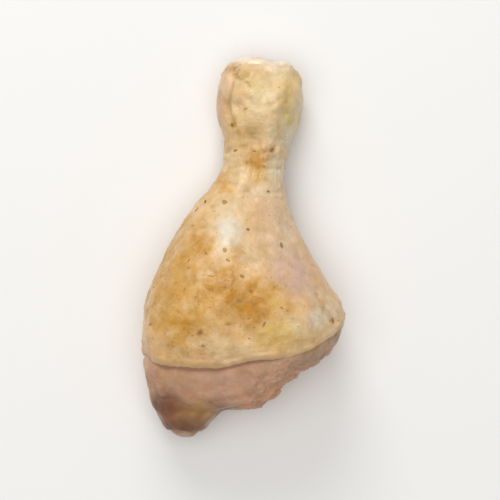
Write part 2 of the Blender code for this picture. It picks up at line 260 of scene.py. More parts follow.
def wandered(points, reach, size, seeds):
    # the points moved about by lumps, with one seed for each axis from X on
    moved = points.copy()
    for axis, seed in enumerate(seeds):
        moved[..., axis] += reach * lumps(points, size, 2, seed)
    return moved


def spotMask(points, spots):
    # soft ovals seen from above: x, y, half width, half length, turn in degrees, strength
    mask = np.zeros(points.shape[:-1])
    for x, y, halfWidth, halfLength, turn, strength in spots:
        c, s = math.cos(math.radians(turn)), math.sin(math.radians(turn))
        dx, dy = points[..., 0] - x, points[..., 1] - y
        u, v = (c * dx + s * dy) / halfWidth, (c * dy - s * dx) / halfLength
        mask = np.maximum(mask, strength * np.exp(-(u * u + v * v)))
    return mask


def pathDistance(points, path):
    # distance in the plane of the first two axes to a line of straight pieces
    p = points[..., :2]
    best = np.full(points.shape[:-1], 1e9)
    for a, b in zip(path, path[1:]):
        a, b = np.array(a), np.array(b)
        t = share01(((p - a) @ (b - a)) / ((b - a) @ (b - a)))
        best = np.minimum(best, np.linalg.norm(p - (a + t[..., None] * (b - a)), axis=-1))
    return best


def meshObject(name, vertices, faces):
    mesh = bpy.data.meshes.new(name)
    mesh.from_pydata((np.asarray(vertices) * mm).tolist(), [], faces)
    mesh.update()
    mesh.shade_smooth()
    obj = bpy.data.objects.new(name, mesh)
    bpy.context.scene.collection.objects.link(obj)
    return obj


def tubeFaces(rows, steps, wrap=False):
    faces = []
    for r in range(rows if wrap else rows - 1):
        low, high = r * steps, (r + 1) % rows * steps
        for i in range(steps):
            j = (i + 1) % steps
            faces.append((low + i, high + i, high + j, low + j))
    return faces


def closedTube(name, rings, tipOffsets):
    # rings from first to last, closed by a fan at each end
    rows, steps = rings.shape[:2]
    tips = [rings[k].mean(axis=0) + (0.0, offset, 0.0) for k, offset in zip((0, -1), tipOffsets)]
    vertices = np.concatenate([rings.reshape(-1, 3), tips])
    faces = tubeFaces(rows, steps)
    last = (rows - 1) * steps
    for i in range(steps):
        j = (i + 1) % steps
        faces.append((i, j, rows * steps))
        faces.append((last + j, last + i, rows * steps + 1))
    return meshObject(name, vertices, faces)


def setMasks(obj, masks):
    for name, values in masks.items():
        layer = obj.data.attributes.new(name, "FLOAT", "POINT")
        layer.data.foreach_set("value", np.ascontiguousarray(values, np.float32).ravel())


def readVectors(source, key):
    flat = np.empty(len(source) * 3, np.float32)
    source.foreach_get(key, flat)
    return flat.reshape(-1, 3).astype(float)


def readSurface(obj):
    return readVectors(obj.data.vertices, "co") / mm, readVectors(obj.data.vertex_normals, "vector")


def writePoints(obj, points):
    obj.data.vertices.foreach_set("co", np.ascontiguousarray(points * mm, np.float32).ravel())
    obj.data.update()


def bake(obj):
    # the evaluated mesh takes the object's place and its modifiers go
    graph = bpy.context.evaluated_depsgraph_get()
    made = bpy.data.meshes.new_from_object(obj.evaluated_get(graph))
    obj.modifiers.clear()
    obj.data = made


def report(obj, label):
    print(label + ":", len(obj.data.polygons), "faces")
    return obj


skinForm = {
    "steps": 304,
    "rows": 270,
    "rowCrowding": 0.05,  # the rows stand closer at the two hems
    "innerRows": 14,
    "rimRows": 4,
    "thickness": 1.4,
    "hemThickness": 0.9,
    "hemReach": 3.0,  # the wall thins out, and the left side tapers, this far from a hem
    "nickDepth": 0.55,
    "nickRing": 6.0,  # how much noise the nicks pass on their way round
    "rolledIn": (-0.35, 0.5),  # height at the hem, and how soon it fades
    "rolledUp": (0.22, 1.6, 0.9),  # height, distance from the hem, width
    "leftTaper": 0.38,
    "undulation": (0.5, 12.0),  # height and size of the broad lumps
    "dimple": (0.16, 3.4),
    "pimple": (0.38, 3.4, 0.3),  # height, spacing, and width as a share of the spacing
    "pimplePatch": 9.0,
    "folds": (  # size, stretch along X, Y and Z, seed, sharpness, depth, how much the knuckle smooths it
        (2.6, (1.0, 0.28, 1.0), 5, 6, 0.17, 0.75),
        (3.4, (0.35, 1.0, 0.35), 6, 7, 0.24, 0.6),
    ),
    "creaseWander": (0.7, 5.0),  # how far a crease strays, and over what length
    "creaseLip": (0.45, 1.9, 0.9),  # share of the depth, place and width in half widths
    "creases": (  # seen from above: the line, its depth and its half width
        (((8.6, 53), (8, 48.5), (6.6, 43.5), (5.4, 38), (6.2, 33.5)), 0.26, 1.5),
        (((-9.2, 50.5), (-10.1, 46), (-9.9, 41), (-8.2, 36.5)), 0.6, 0.9),
        (((-10.8, 52.5), (-8, 50.8), (-5.4, 51.6)), 0.45, 0.9),
        (((-4.5, 44.5), (-1.5, 42.5), (2.5, 43), (5, 45.5)), 0.25, 0.9),
        (((-10, 28.5), (-5, 30), (0.5, 29), (5, 30.5)), 0.2, 0.8),
        (((-9.5, 23.5), (-4, 25.2), (1, 24), (7.5, 25.5)), 0.22, 0.8),
        (((-4, 18), (2, 16.6), (8, 18.5)), 0.2, 0.8),
        (((20.5, -12), (24, -15.5), (26.8, -18.5)), 0.3, 0.8),
    ),
    "spotWander": (1.3, 7.0),
    "hemMark": 1.2,
    "grainLevels": (8.0, 14.0),  # heights between which the seasoning's grains set in
    "grainShankDrop": 6.0,  # how much lower they reach along the shank
}

# What the seasoning and the skin's own colours cover. A fleck is a soft brown mark in the skin,
# core the deepest orange, and olive where green spice and fat colour the knuckle's folds.
# The pale mark is partly pale skin and partly a painted highlight, and the pink mark partly pink
# skin and partly painted shade on the knuckle's left side.
seasoning = {  # x, y, half width, half length, turn, strength
    "stain": (
        (0.5, -16, 8, 6.5, 15, 1), (-8, -12.5, 9, 7, -10, 1), (-15.5, -23.5, 7, 4.6, 10, 0.9),
        (-21.5, -12, 10, 22, 12, 0.88), (-7, -3.5, 6, 3, 30, 0.45), (-15, 3, 4, 8, 25, 0.6),
        (-15.5, -3, 4, 5, 20, 0.5), (-9.8, 19, 3.2, 4.5, 10, 0.75), (-26, -12, 3.5, 14, 12, 0.8),
        (0.2, 25.6, 3.2, 4.2, 0, 0.7), (-4.5, 33, 3.4, 3, 0, 0.35), (-18, -29, 8, 4, -10, 0.4),
        (-3, -25, 9, 3, 0, 0.2), (9, -17.5, 5, 3.6, 20, 0.5), (5, -12.6, 4.6, 3.2, 20, 0.75),
        (-6.8, -8.6, 5.5, 3.6, 20, 0.6), (21, -11, 4, 6, 30, 0.25),
    ),
    "core": (
        (1.4, -15.6, 5, 3.8, 20, 1), (-2.8, -14.6, 3.6, 2.8, 0, 1), (4.4, -18.6, 3.2, 2.2, 30, 0.85),
        (-8, -11.4, 4.4, 2.2, 20, 0.75), (0.6, -11.8, 3.4, 2, 20, 0.6), (5.8, -13.2, 2.6, 2, 20, 0.55),
        (6.8, -19, 2.4, 2, 0, 0.45), (-6.2, -9.2, 4.6, 3.2, 20, 0.45), (-12.5, -14, 4, 3, 0, 0.3),
        (-14.2, -1, 3.4, 5.4, 20, 0.4), (-5.5, -17.5, 3, 1.6, 0, 0.4), (-16.8, -22.8, 4.4, 2, 10, 0.65),
        (-12, -25.4, 1.8, 1.6, 0, 0.6), (-21, -15, 2.6, 3, 0, 0.3), (-19.5, -4, 2, 4, 20, 0.35),
        (0.3, 25.8, 2, 2.2, 0, 0.5), (-9.6, 18.6, 1.2, 1.6, 0, 0.35),
    ),
    # pale skin, and a painted highlight on the calf's upper slope, strongest at (-6.8, 5)
    "pale": (
        (-6.8, 5, 3.6, 5.6, 12, 1), (3, 17.5, 4.5, 3, 0, 0.45), (-2, -1, 5, 4, 0, 0.35),
        (22.8, -17.4, 5, 3.4, 30, 0.85), (-1, 55.4, 9, 1.5, 0, 0.6), (6.2, 25, 2.8, 6, 0, 0.65),
        (10, 5, 4.5, 5.5, 20, 0.4), (4, 2, 4, 4, 0, 0.2), (8.6, 34.5, 3.2, 5, 0, 1),
        (9.6, 43.5, 2.2, 5, 0, 0.45),
    ),
    "cream": (
        (-0.2, 44.5, 5, 8, 0, 1), (-6, 14.5, 4.5, 8, 15, 0.5), (5, 53, 5, 3, 0, 0.8),
        (10.6, 44, 2.2, 9, -5, 0.9), (5.5, 25, 2.8, 5, 0, 0.5), (-7.2, 26.5, 2, 4, 0, 0.45),
        (-8.5, 42.5, 2.4, 6, 0, 0.7), (-2, 36, 5, 4, 0, 0.5), (4.5, 36, 4, 4.5, 0, 0.7),
        (15, -21, 4, 3, 20, 0.55), (-4, -28.5, 9, 3.4, 0, 0.45),
    ),
    # pink skin, and painted shade on the knuckle's left side at (-9.2, 48) and (-12.2, 44)
    "pink": (
        (12.8, -5.4, 7.5, 9, 30, 1), (19.5, -11.5, 4.5, 5.5, 30, 0.6), (7, 7, 6, 9, 20, 0.55),
        (-6, -31.5, 12, 2.2, 0, 0.3), (1, 13, 5, 7, 0, 0.35), (-9.2, 48, 2.2, 3.2, 0, 0.85),
        (14, -12, 3.5, 3.5, 0, 0.4), (-12.2, 44, 2, 9, 0, 0.5), (-20, -31, 6, 3, 0, 0.4),
    ),
    "yellow": (
        (9.5, -22.8, 7, 3.8, 10, 1), (8.7, -15, 3, 3, 0, 0.8), (9.6, -10, 2.6, 3.4, 0, 0.6),
        (6, -21.5, 3, 3, 0, 0.5), (20, -20, 7, 4, 30, 0.25), (1, 49, 7, 4, 0, 0.4),
        (1, 23.6, 2.8, 3, 0, 0.5), (-4, 38, 5, 3, 0, 0.4),
    ),
    "olive": (
        (7.6, 50, 1.7, 3.4, 5, 0.45), (7.4, 45, 2.3, 4.6, -5, 0.7), (5.2, 44.8, 0.9, 2.4, -5, 0.45),
        (7.6, 39.5, 2.2, 4.2, 0, 0.65), (3.4, 40.6, 1.6, 1.6, 0, 0.4), (-6.4, 51, 3, 2, -40, 0.7),
        (-4.2, 48.8, 2.2, 1.1, -30, 0.75), (0, 48.3, 2.6, 1, 0, 0.35), (-3.8, 33.2, 1.8, 1.4, 0, 0.45),
        (-6.4, 31.2, 1.2, 0.9, 0, 0.5), (8.6, -13.8, 1.8, 1.2, 20, 0.35),
        (7.6, -24.5, 3.4, 1.2, 15, 0.3),
    ),
    "fleck": (
        (-12.4, -24.9, 1.3, 0.9, 40, 1), (-11, -28.7, 0.9, 0.7, 0, 0.7), (-1.8, -15, 1.6, 1, 10, 0.8),
        (1.4, -12, 1.3, 0.8, -20, 0.8), (4.2, -13.6, 1.1, 0.8, 30, 0.6),
        (-3.6, -16.4, 0.8, 0.7, 0, 0.6), (-10.4, -4.6, 1.1, 0.8, 20, 0.5),
        (-5.2, -6.6, 1.2, 0.8, 40, 0.5), (-7.6, -10.2, 1.1, 0.9, 60, 0.7),
        (-10.6, -12.4, 1.4, 0.9, 20, 0.55), (-4.6, -12.2, 1.2, 0.9, -20, 0.55),
        (-6.8, -16.4, 1.3, 0.8, 10, 0.45), (-14.2, -14.8, 1.2, 0.9, 50, 0.4),
        (6.8, -15.8, 1.2, 0.9, 30, 0.45), (-12.6, -8.4, 0.9, 0.7, 0, 0.5),
        (-15.6, -1.5, 1.2, 0.8, 30, 0.45), (-12.2, 11.8, 1, 0.7, 0, 0.5),
        (1.8, 25.2, 1.2, 0.8, 20, 0.7), (-2.4, 27, 0.9, 0.7, 0, 0.5), (-8.7, 53.6, 1.9, 1.4, 10, 1),
        (-7.4, 50.8, 2.1, 1.3, -50, 0.8), (-5, 49, 2.1, 1, -35, 0.65), (-9.3, 26.2, 1, 1, 0, 0.7),
        (2.7, 28.5, 1.1, 0.8, 0, 0.4), (12.8, 3.6, 0.9, 0.6, 60, 0.4), (15.8, -1.2, 0.8, 0.6, 0, 0.4),
        (17.2, -15.8, 1, 0.7, 0, 0.45), (-21, -15, 1, 0.8, 0, 0.5), (-23.5, -22, 0.9, 0.9, 0, 0.45),
        (-19, -19.6, 0.8, 0.7, 0, 0.5),
    ),
}


def skinRelief(station, points, normal):
    # folds, dimples and the bumps that the feathers left, and where those bumps are
    form = skinForm
    bulb, knuckle = smoothStep(*leg["bulb"], station), smoothStep(*leg["knuckle"], station)
    shankMiddle, shankReach = leg["shank"]
    shank = bell(station - shankMiddle, shankReach)
    lumpHeight, lumpSize = form["undulation"]
    height = lumpHeight * lumps(points, lumpSize, 2, 1) * (0.5 + 0.5 * bulb)
    dimpleDepth, dimpleSize = form["dimple"]
    height += dimpleDepth * lumps(points, dimpleSize, 3, 2)
    patchy = 0.55 + 0.45 * lumps(points, form["pimplePatch"], 1, 3)
    pimpleHeight, spacing, pimpleWidth = form["pimple"]
    pimple = bell(nearestCell(points, spacing, 4), pimpleWidth)
    height += pimpleHeight * pimple * patchy * (1.0 - 0.7 * knuckle)
    for size, stretch, seed, sharpness, depth, smoothed in form["folds"]:
        ridge = 1.0 - np.abs(lumps(points * np.array(stretch), size, 2, seed))
        height -= depth * (ridge ** sharpness) * (0.3 + 0.7 * shank) * (1.0 - smoothed * knuckle)
    facing = smoothStep(0.1, 0.5, normal[..., 2])
    strayed = wandered(points, *form["creaseWander"], (7,))
    lipShare, lipPlace, lipWidth = form["creaseLip"]
    for path, depth, halfWidth in form["creases"]:
        away = pathDistance(strayed, path) / halfWidth
        lip = lipShare * bell(away - lipPlace, lipWidth)
        height += depth * facing * (lip - bell(away, 1.0))
    return height, pimple * share01(patchy)


def roundedRim(fromRing, toRing, way):
    # rings that round a cut edge from one ring to the other, bulging along Y
    rings = []
    middle, half = (fromRing + toRing) / 2, (fromRing - toRing) / 2
    reach = np.linalg.norm(half, axis=-1, keepdims=True)
    for k in range(1, skinForm["rimRows"] + 1):
        turn = math.pi * k / (skinForm["rimRows"] + 1)
        bulge = np.array([0.0, way, 0.0]) * reach * math.sin(turn)
        rings.append(middle + half * math.cos(turn) + bulge)
    return np.array(rings)


def hemNicks(angle):
    # a ring through noise closes on itself, so the nicks do too
    ring = skinForm["nickRing"]
    places = [Vector((ring * math.cos(a), ring * math.sin(a), 3.3)) for a in np.radians(angle[0])]
    return skinForm["nickDepth"] * np.array([noise.fractal(p, 0.8, 2.0, 4) for p in places])[None, :]


def skinMasks(rings, start, angle, outerRows, fine, pimples):
    # everything the skin's material and the seasoning's grains read from the surface
    def onOuter(values, margin=0):
        mask = np.zeros(rings.shape[:-1])
        mask[outerRows.start + margin:outerRows.stop - margin] = values
        return mask

    y, z = rings[..., 1], rings[..., 2]
    strayed = wandered(rings, *skinForm["spotWander"], (13, 14))
    broken = 0.92 + 0.35 * lumps(rings, 5.5, 2, 11)
    masks = {}
    for name, spots in seasoning.items():
        places = rings if name == "fleck" else strayed
        masks[name] = share01(spotMask(places, spots) * broken)
    masks["hem"] = np.exp(-np.abs(y - start) / skinForm["hemMark"]) * (1.0 - 0.5 * leftShare(angle))
    masks["hollow"] = onOuter(smoothStep(-0.05, -0.55, fine))
    masks["pimple"] = onOuter(pimples)
    level = z + skinForm["grainShankDrop"] * smoothStep(10.0, 30.0, y)
    upward = onOuter(1.0, 3) * smoothStep(*skinForm["grainLevels"], level)
    masks["spiceShare"] = upward * share01(0.04 + masks["stain"] ** 2) * share01(broken)
    masks["herbShare"] = upward * share01(0.35 + 0.5 * masks["stain"])
    return masks


def buildSkin():
    form = skinForm
    angle = roundAngles(form["steps"])[None, :]
    nick = hemNicks(angle)
    start = hemStation(leg["kneeHem"], angle) + nick
    end = hemStation(leg["ankleHem"], angle) - nick
    share = np.linspace(0.0, 1.0, form["rows"])[:, None]
    share = share - form["rowCrowding"] * np.sin(2 * math.pi * share)
    station = start + (end - start) * share
    plain, normal = sectionPoint(station, angle), outward(station, angle)
    height = legRelief(station, angle)
    fine, pimples = skinRelief(station, plain + normal * height[..., None], normal)
    fromHem = np.minimum(station - start, end - station)
    (inDepth, inReach), (upHeight, upPlace, upWidth) = form["rolledIn"], form["rolledUp"]
    rolled = inDepth * np.exp(-fromHem / inReach) + upHeight * bell(fromHem - upPlace, upWidth)
    rolled = rolled - form["leftTaper"] * leftShare(angle) * np.exp(-(station - start) / form["hemReach"])
    outer = pressFlat(plain + normal * (height + fine + rolled)[..., None], 0.0)

    innerShare = np.linspace(1.0, 0.0, form["innerRows"])[:, None]
    innerStation = start + (end - start) * innerShare
    nearHem = np.minimum(innerStation - start, end - innerStation)
    thickening = form["thickness"] - form["hemThickness"]
    wall = form["hemThickness"] + thickening * smoothStep(0.0, form["hemReach"], nearHem)
    inner = raisedPoint(innerStation, angle, legRelief(innerStation, angle) - wall)
    inner = pressFlat(inner, form["hemThickness"])

    kneeRim, ankleRim = roundedRim(inner[-1], outer[0], -1.0), roundedRim(outer[-1], inner[0], 1.0)
    rings = np.concatenate([inner, kneeRim, outer, ankleRim])
    outerRows = range(len(inner) + len(kneeRim), len(rings) - len(ankleRim))
    faces = tubeFaces(len(rings), form["steps"], wrap=True)
    skin = meshObject("skinSleeve", rings.reshape(-1, 3), faces)
    setMasks(skin, skinMasks(rings, start, angle, outerRows, fine, pimples))
    return report(skin, "skin")


meatForm = {
    "coveredInset": 1.5,
    "hemInset": 1.05,
    "hemInsetReach": 3.0,
    "bareInset": 0.6,
    "leftInset": 0.4,  # the meat comes up to the skin by this much where the skin clings
    "hemStep": 1.5,
    "ankleEnd": 54.2,
    "rows": (34, 60),  # bare and hidden
    "voxel": 0.55,
    "softenSteps": 6,
    "lowestPoint": 0.15,
    "steps": 96,
    "seams": (38.0, 84.0, 131.0, 172.0, 214.0, 330.0),
    "seamSway": 5.0,
    "seamWidth": 7.0,
    "seamDepth": 1.1,
    "fibre": (0.09, 1.6),  # height and size
    "muscle": (0.4, 6.0),
    "ledges": (0.8, 4.0, 5.5),  # height, size of their lumps, and rise from one to the next
    "ledgeSpot": ((13.0, -40.0, 11.0, 9.0, -40.0, 1.0),),
    "swirl": (1.8, 9.0),
    "bundle": (1.0, 10.0, 0.3, 0.3, 0.12),  # depth, size, stretch, wall width, share off the cut face
    "strand": (0.28, 2.6, 0.25, 0.4, 0.25),
    "lobe": ((-43.5, -49.5), (5.0, -1.0)),  # stations, and X, between which the knee lobe sets in
    "boneEnd": (-14.8, 9.3),  # X and Z of the bone's round head
    "boneHole": (5.4, 4.2, 1.2),  # where the meat sinks to let the bone out, and how deep
    "collar": (6.0, 1.4, 0.35, 0.7),  # radius, width, height, unevenness
    "sinews": (  # seen from the knee end: X and Z along the sinew, and its half width
        (((-8.0, 13.0), (-3.5, 17.0), (-1.5, 20.5)), 1.0),
        (((-7.5, 8.0), (0.5, 6.5), (7.0, 7.5)), 1.3),
    ),
    "sinewHeight": 0.25,
    "marks": {  # x, y, half width, half length, turn, strength
        "shade": (
            (20.5, -30, 8, 3.6, 40, 0.8),
        ),
        # tan-grey fat at the far right strip, darkened with painted shade at the leg's outline
        "fatty": (
            (27.8, -23.2, 3.8, 3.6, 40, 0.95), (24, -27, 4, 2.2, 40, 0.4),
        ),
        # painted shadow at the lobe's tip, down its left side and in the gap beside it
        "dark": (
            (-14.5, -54.8, 6.5, 2.4, 0, 0.95), (-14.2, -54.2, 5, 1.6, 0, 0.5),
            (-22.5, -48, 2.6, 4.5, 20, 0.75), (-5, -47.5, 2, 1.8, -30, 0.6),
        ),
        "mauve": (
            (-7, -38, 13, 2.4, 0, 0.8), (-4, -41.5, 6, 1.6, 5, 0.5),
        ),
        "red": (
            (-25, -41, 2, 6, 10, 0.5), (-21, -47.5, 4.6, 5.6, 20, 1), (3.5, -41.8, 4, 1.8, 8, 0.3),
            (-3, -44, 5, 1.4, 10, 0.4),
        ),
        "tan": (
            (-11.2, -47, 3.8, 2.4, 10, 0.9), (-13, -49.8, 3.4, 2.2, 0, 0.6),
            (-8.4, -50, 1.6, 3.4, -30, 0.7), (-15, -46.2, 2.6, 1.1, 30, 0.5),
            (-16.4, -50.4, 2.4, 1.1, 35, 0.45), (-12.2, -52.6, 2.2, 1, -20, 0.4),
            (-19.5, -39.8, 7, 3.4, 0, 0.5), (22, -26.8, 6, 1.8, 40, 0.45),
            (9.5, -43.5, 4, 1.5, 30, 0.35),
        ),
    },
    "kneeLobe": (26, 72),  # rows and steps
    "kneeLines": (
        (-32, -24.5, 1, 22, 2.8), (-39.6, -26.6, 0.6, 22.4, 2.4),
        (-41.8, -26.8, 0.2, 22.2, 0.8), (-45.5, -26.5, -1.8, 21.2, 0.3),
        (-49, -25.2, -4.2, 19.6, 0.5), (-52, -23.2, -6.6, 18, 1.2),
        (-54.2, -21.2, -8.6, 16.4, 2.2), (-55.6, -19.6, -10.2, 14.9, 3.6),
        (-56.3, -18.5, -11.2, 13.8, 4.8),
    ),
}


def meatTube():
    # the muscle from the knee end to the ankle, sunk under the skin
    form = meatForm
    angle = roundAngles(form["steps"])[None, :]
    hem = hemStation(leg["kneeHem"], angle)
    kneeEnd = leg["lines"][0][0]
    bareRows, hiddenRows = form["rows"]
    bare = kneeEnd + (hem - kneeEnd) * np.linspace(0.0, 1.0, bareRows)[:, None] ** 1.5
    hidden = hem + (form["ankleEnd"] - hem) * np.linspace(0.0, 1.0, hiddenRows)[1:, None]
    station = np.concatenate([bare, hidden])
    cover = smoothStep(hem - form["hemStep"], hem - 0.2, station)
    deeper = smoothStep(hem, hem + form["hemInsetReach"], station)
    covered = form["hemInset"] + (form["coveredInset"] - form["hemInset"]) * deeper
    bareInset = form["bareInset"] - form["leftInset"] * leftShare(angle)
    inset = bareInset + (covered - bareInset) * cover
    seams = 0.0
    for number, seam in enumerate(form["seams"]):
        line = seam + form["seamSway"] * np.sin(station / 5.0 + number)
        seams = seams + bell(turnFrom(angle, line), form["seamWidth"])
    seams = form["seamDepth"] * seams * smoothStep(hem, kneeEnd + 3.0, station)
    body = raisedPoint(station, angle, legRelief(station, angle) - inset - seams)
    return closedTube("meatBody", pressFlat(body, 0.3 + 1.0 * cover), (-0.4, 0.3))


def addKneeLobe(meat):
    lines = meatForm["kneeLines"]
    rows, steps = meatForm["kneeLobe"]
    station = np.linspace(lines[0][0], lines[-1][0], rows)[:, None]
    knee = sectionPoint(station, roundAngles(steps)[None, :], lines)
    lobe = closedTube("kneeLobe", pressFlat(knee, 0.3)[::-1], (-0.3, 0.0))
    bpy.context.view_layer.update()
    joined = bmesh.new()
    joined.from_mesh(meat.data)
    joined.from_mesh(lobe.data)
    bmesh.ops.recalc_face_normals(joined, faces=joined.faces)
    joined.to_mesh(meat.data)
    joined.free()
    bpy.data.objects.remove(lobe, do_unlink=True)


def mergeAndSoften(meat):
    remesh = meat.modifiers.new("oneBody", "REMESH")
    remesh.mode = "VOXEL"
    remesh.voxel_size = meatForm["voxel"] * mm
    remesh.use_smooth_shade = True
    soften = meat.modifiers.new("soften", "SMOOTH")
    soften.factor = 0.5
    soften.iterations = meatForm["softenSteps"]
    bake(meat)


def meatGrain(points, normals):
    # how far each point is pushed out by the muscle's grain, and the masks that go with it
    form = meatForm
    x, y, z = points.T
    left, right, *_, middle = sectionAt(y)
    around = np.degrees(np.arctan2(z - middle, x - (left + right) / 2))
    hem = hemStation(leg["kneeHem"], around)
    bareShare = smoothStep(hem + 0.5, hem - 1.5, y)
    topward = smoothStep(0.3, 0.75, normals[:, 2])
    frontward = smoothStep(0.1, -0.5, normals[:, 1]) * smoothStep(hem - 2.0, hem - 8.0, y)
    lobeStations, lobeSides = form["lobe"]
    lobeShare = smoothStep(*lobeStations, y) * smoothStep(*lobeSides, x)
    faceShare = frontward * (1.0 - 0.88 * lobeShare) * (1.0 - 0.9 * topward)

    (fibreHeight, fibreSize), (muscleHeight, muscleSize) = form["fibre"], form["muscle"]
    ledgeHeight, ledgeSize, ledgeRise = form["ledges"]
    fibre = lumps(points * np.array([1.0, 0.2, 1.0]), fibreSize, 3, 21)
    muscle = lumps(points * np.array([1.0, 0.45, 1.0]), muscleSize, 3, 22)
    layer = lumps(points * np.array([0.4, 0.5, 1.2]), ledgeSize, 3, 23)
    ledges = np.mod(1.6 * layer + z / ledgeRise, 1.0)
    push = fibreHeight * fibre + muscleHeight * muscle
    push = push + ledgeHeight * (ledges - 0.5) * share01(spotMask(points, form["ledgeSpot"]))

    swirl = wandered(points, *form["swirl"], (25, 26, 27))
    inside, tint = {}, {}
    for name, seed in (("bundle", 28), ("strand", 29)):
        depth, size, stretch, wall, rest = form[name]
        inside[name], tint[name] = cells(swirl * np.array([1.0, stretch, 1.0]), size, seed)
        groove = smoothStep(0.0, wall, inside[name]) - 1.0
        push = push + depth * groove * (rest + (1.0 - rest) * faceShare)

    boneX, boneZ = form["boneEnd"]
    fromBone = np.hypot(x - boneX, z - boneZ) + 0.5 * muscle
    across = np.stack([x + 0.8 * layer, z + 0.8 * muscle], -1)
    sinew = np.zeros(len(points))
    for path, halfWidth in form["sinews"]:
        fan = halfWidth * (0.4 + 0.1 * fromBone)
        sinew = np.maximum(sinew, bell(pathDistance(across, path), fan))
    sinew = sinew * smoothStep(-0.2, -0.7, normals[:, 1]) * smoothStep(-40.0, -43.0, y) * (1.0 - topward)
    sinew = share01(sinew * smoothStep(17.0, 6.0, fromBone) * (0.75 + 0.6 * layer))
    push = push + form["sinewHeight"] * sinew

    nearTip = smoothStep(-52.5, -54.5, y)
    radius, width, collarHeight, uneven = form["collar"]
    holeFrom, holeTo, holeDepth = form["boneHole"]
    collar = bell(fromBone - radius, width) * nearTip
    push = push + (collarHeight + uneven * layer) * collar
    push = push - holeDepth * smoothStep(holeFrom, holeTo, fromBone) * nearTip

    shown = bareShare * faceShare * smoothStep(0.6, 0.1, normals[:, 2]) * (1.0 - 0.85 * lobeShare)
    clinging = leftShare(np.mod(around, 360.0))
    return push * bareShare, {
        "lobe": lobeShare,
        "collar": collar * (0.75 + 0.4 * layer) * (1.0 - topward),
        "fibre": 0.5 + 0.5 * np.clip(fibre, -1.0, 1.0),
        "seam": smoothStep(0.22, 0.02, inside["bundle"]) * shown,
        "bundleTint": tint["bundle"] * (0.2 + 0.8 * faceShare),
        "strandTint": tint["strand"],
        "sinew": sinew,
        # a painted shadow on the meat just under the skin's hem, weaker where the skin clings
        "underHem": np.exp(-np.abs(hem - 0.6 - y) / 1.1) * (1.0 - 0.75 * clinging),
    }


def buildMeat():
    meat = meatTube()
    addKneeLobe(meat)
    mergeAndSoften(meat)
    points, normals = readSurface(meat)
    push, masks = meatGrain(points, normals)
    points = points + normals * push[:, None]
    points[:, 2] = np.maximum(points[:, 2], meatForm["lowestPoint"])
    writePoints(meat, points)
    # The lobe's brown is partly painted shade, as the lobe lies low; it and the marks, painted shade among
    # them, fade on faces turned away from above.
    seenFromAbove = 0.3 + 0.7 * smoothStep(-0.3, 0.35, normals[:, 2])
    masks["lobe"] = masks["lobe"] * seenFromAbove
    torn = 0.8 + 0.5 * lumps(points, 3.0, 3, 24)
    for name, spots in meatForm["marks"].items():
        masks[name] = share01(spotMask(points, spots) * torn * seenFromAbove)
    setMasks(meat, masks)
    return report(meat, "meat")


boneForm = {
    "steps": 96,
    "lines": (  # station, centre X, centre Z, half width, half height
        (-57.5, -14.8, 9.3, 1.4, 1.4),
        (-57.2, -14.8, 9.3, 2.5, 2.5),
        (-56.4, -14.8, 9.3, 3.7, 3.7),
        (-54.6, -14.8, 9.3, 4.7, 4.6),
        (-50, -14.5, 9.5, 5, 4.8),
        (-44, -13.6, 10, 5.2, 5),
        (-36, -11.8, 10.8, 4.2, 4.2),
        (-12, -6.2, 12.4, 3.7, 3.7),
        (20, -1.2, 10.1, 3.4, 3.3),
        (36, -0.8, 9.8, 4.3, 3.9),
        (44, -0.8, 10.1, 6.6, 5.3),
        (49, -0.8, 10.2, 8.3, 6.5),
        (53, -0.8, 10.2, 9, 6.6),
        (55.4, -0.7, 10.2, 8.6, 6.1),
        (56.8, -0.6, 10.2, 7.4, 5.1),
        (57.5, -0.5, 10.2, 5.2, 3.4),
    ),
    "domes": ((7.5, 40), (8.5, 44)),  # length and rows of the knee's end and of the ankle's
    "shaftRows": 20,
    "grooveDepth": 1.3,
    "grooveWidth": 2.4,
    "grooveX": 2.0,
    "grooveStart": 49.0,
    "unevenness": (0.12, 0.14, 3.6),  # at the ankle, more at the knee, size
}


def buildBone():
    form = boneForm
    low, high = form["lines"][0][0], form["lines"][-1][0]
    (kneeDome, kneeRows), (ankleDome, ankleRows) = form["domes"]
    station = np.concatenate([
        low + kneeDome * (1 - np.cos(np.linspace(0.0, math.pi / 2, kneeRows))),
        np.linspace(low + kneeDome, high - ankleDome, form["shaftRows"])[1:-1],
        high - ankleDome * (1 - np.sin(np.linspace(0.0, math.pi / 2, ankleRows))),
    ])[:, None]
    across, up = roundPoint(roundAngles(form["steps"])[None, :])
    centreX, centreZ, halfWidth, halfHeight = (fairCurve(form["lines"], c, station) for c in (1, 2, 3, 4))
    x, z = centreX + halfWidth * across, centreZ + halfHeight * up
    groove = bell(x - form["grooveX"], form["grooveWidth"])
    y = station - form["grooveDepth"] * groove * smoothStep(form["grooveStart"], high - 1.0, station)
    bone = closedTube("boneEnds", np.stack(np.broadcast_arrays(x, y, z), axis=-1), (-0.1, 0.1))
    points, normals = readSurface(bone)
    kneeEnd = smoothStep(-20.0, -40.0, points[:, 1])
    atAnkle, moreAtKnee, size = form["unevenness"]
    push = (atAnkle + moreAtKnee * kneeEnd) * lumps(points, size, 2, 31)
    writePoints(bone, points + normals * push[:, None])
    setMasks(bone, {"kneeEnd": kneeEnd})
    return report(bone, "bone")


# Shader and Geometry Nodes building blocks

def addNode(tree, kind, inputs=None, **settings):
    # an input takes a value, or a link from another node's output
    made = tree.nodes.new(kind)
    for key, value in settings.items():
        setattr(made, key, value)
    for key, value in (inputs or {}).items():
        socket = made.inputs[key]
        if isinstance(value, bpy.types.NodeSocket):
            tree.links.new(value, socket)
        elif isinstance(value, tuple):
            socket.default_value = value + (1.0,) * (len(socket.default_value) - len(value))
        else:
            socket.default_value = value
    return made


